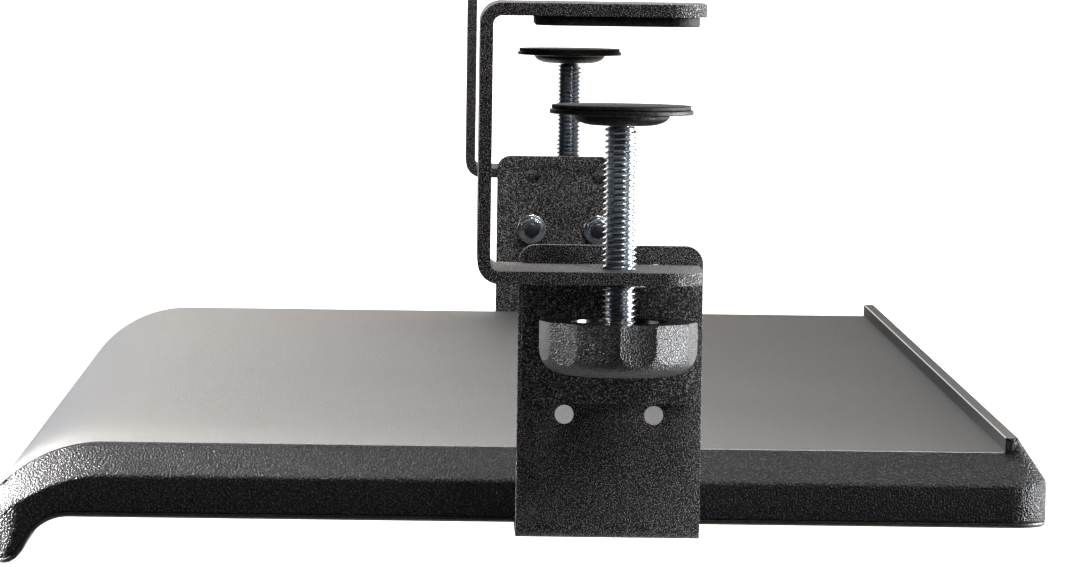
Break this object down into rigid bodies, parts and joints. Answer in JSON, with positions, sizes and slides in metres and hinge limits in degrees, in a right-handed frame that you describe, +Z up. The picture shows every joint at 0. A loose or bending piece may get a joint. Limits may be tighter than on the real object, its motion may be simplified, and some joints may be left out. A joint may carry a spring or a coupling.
{
  "type": "clamp-on keyboard tray",
  "caption": "Sliding keyboard tray with a raised back lip and a curved wrist edge, hung under a desk from screw clamps and bolted L-brackets.",
  "frame": {"origin": "midway between the two clamps, at the desk's front face and level with the desk's top face", "axes": "+X towards the user's right, +Y away from the user, +Z up"},
  "size_m": [0.7692, 0.3062, 0.1618],
  "materials": {
    "shell_plastic": "sand-textured moulded black plastic",
    "panel_plastic": "smooth satin charcoal sheet",
    "cover_plastic": "fine matt black",
    "clamp_steel": "black powder coat",
    "bracket_steel": "black powder coat",
    "bolt_black": "black oxide",
    "zinc_steel": "bright zinc plate",
    "rail_steel": "zinc-plated strip",
    "cage_plastic": "natural moulded",
    "ball_steel": "polished",
    "knob_plastic": "leather-grained black",
    "insert_brass": "machined",
    "pad_rubber": "matt",
    "foot_steel": "satin black"
  },
  "bodies": {
    "clamps": {"right_clamp_bracket": "clamp_steel", "right_jaw_pad": "pad_rubber", "right_l_bracket": "bracket_steel", "right_bracket_bolts": "bolt_black", "right_bracket_nuts": "zinc_steel", "right_inner_rail": "rail_steel", "right_inner_rail_screws": "zinc_steel", "left_clamp_bracket": "clamp_steel", "left_jaw_pad": "pad_rubber", "left_l_bracket": "bracket_steel", "left_bracket_bolts": "bolt_black", "left_bracket_nuts": "zinc_steel", "left_inner_rail": "rail_steel", "left_inner_rail_screws": "zinc_steel"},
    "tray": {"tray_shell": "shell_plastic", "top_panel": "panel_plastic", "bottom_cover": "cover_plastic", "cover_screws": "zinc_steel", "right_outer_rail": "rail_steel", "right_outer_rail_screws": "zinc_steel", "right_rail_stops": "pad_rubber", "left_outer_rail": "rail_steel", "left_outer_rail_screws": "zinc_steel", "left_rail_stops": "pad_rubber"},
    "ball_cages": {"right_ball_cage": "cage_plastic", "right_bearing_balls": "ball_steel", "left_ball_cage": "cage_plastic", "left_bearing_balls": "ball_steel"},
    "right_lift": {"right_ball_seat": "zinc_steel"},
    "right_screw": {"right_clamp_screw": "zinc_steel", "right_knob": "knob_plastic", "right_knob_insert": "insert_brass"},
    "right_foot": {"right_foot_cup": "foot_steel", "right_foot_pad": "pad_rubber"},
    "left_lift": {"left_ball_seat": "zinc_steel"},
    "left_screw": {"left_clamp_screw": "zinc_steel", "left_knob": "knob_plastic", "left_knob_insert": "insert_brass"},
    "left_foot": {"left_foot_cup": "foot_steel", "left_foot_pad": "pad_rubber"}
  },
  "joints": [
    {"name": "tray_slide", "type": "slide", "parent": "clamps", "child": "tray", "axis": [0, 1, 0], "range_m": [-0.051, 0.074]},
    {"name": "cage_slide", "type": "slide", "parent": "clamps", "child": "ball_cages", "axis": [0, 1, 0], "range_m": [-0.026, 0.0375]},
    {"name": "right_screw_lift", "type": "slide", "parent": "clamps", "child": "right_lift", "axis": [0, 0, 1], "range_m": [-0.0378, 0.0089]},
    {"name": "right_knob_turn", "type": "hinge", "parent": "right_lift", "child": "right_screw", "pos_m": [0.36255, 0.036, -0.0277], "axis": [0, 0, 1], "range_deg": [-8610, 2040]},
    {"name": "right_foot_tilt", "type": "hinge", "parent": "right_lift", "child": "right_foot", "pos_m": [0.36255, 0.036, -0.0259], "axis": [1, 0, 0], "range_deg": [-5, 5]},
    {"name": "left_screw_lift", "type": "slide", "parent": "clamps", "child": "left_lift", "axis": [0, 0, 1], "range_m": [-0.0378, 0.0089]},
    {"name": "left_knob_turn", "type": "hinge", "parent": "left_lift", "child": "left_screw", "pos_m": [-0.36255, 0.036, -0.0277], "axis": [0, 0, 1], "range_deg": [-8610, 2040]},
    {"name": "left_foot_tilt", "type": "hinge", "parent": "left_lift", "child": "left_foot", "pos_m": [-0.36255, 0.036, -0.0259], "axis": [1, 0, 0], "range_deg": [-5, 5]}
  ],
  "couplings": [
    {"joint": "cage_slide", "follows": "tray_slide", "ratio": 0.5},
    {"joint": "right_knob_turn", "follows": "right_screw_lift", "rad_per_m": 3957.9},
    {"joint": "left_knob_turn", "follows": "left_screw_lift", "rad_per_m": 3957.9}
  ]
}
